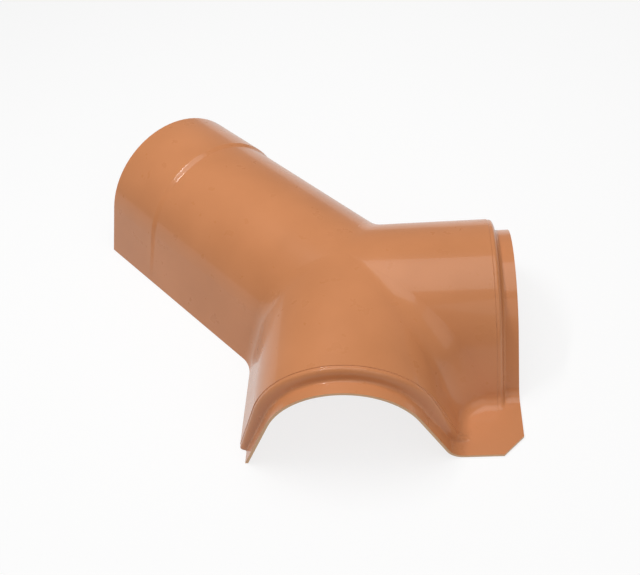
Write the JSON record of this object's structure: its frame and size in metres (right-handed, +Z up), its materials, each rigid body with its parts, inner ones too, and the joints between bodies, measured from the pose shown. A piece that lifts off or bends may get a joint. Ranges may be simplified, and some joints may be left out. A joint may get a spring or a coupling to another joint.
{
  "type": "three-way ridge cap",
  "caption": "Moulded plastic roof cap: a half-round ridge arm meets half-round hip arms with stepped end collars and a flat corner lip, covering the point where a ridge meets its hips.",
  "frame": {"origin": "on the plane of the feet, straight below the point where the three crowns meet", "axes": "+Z up out of the crown; -X along the ridge arm; the hip arms lie 45 degrees to either side of +X, one towards +Y and one towards -Y"},
  "size_m": [0.5818, 0.413, 0.1304],
  "materials": {
    "terracotta_plastic": "glossy moulded terracotta-coloured plastic, coloured through"
  },
  "bodies": {
    "root": {"ridge_cap": "terracotta_plastic"}
  },
  "joints": []
}
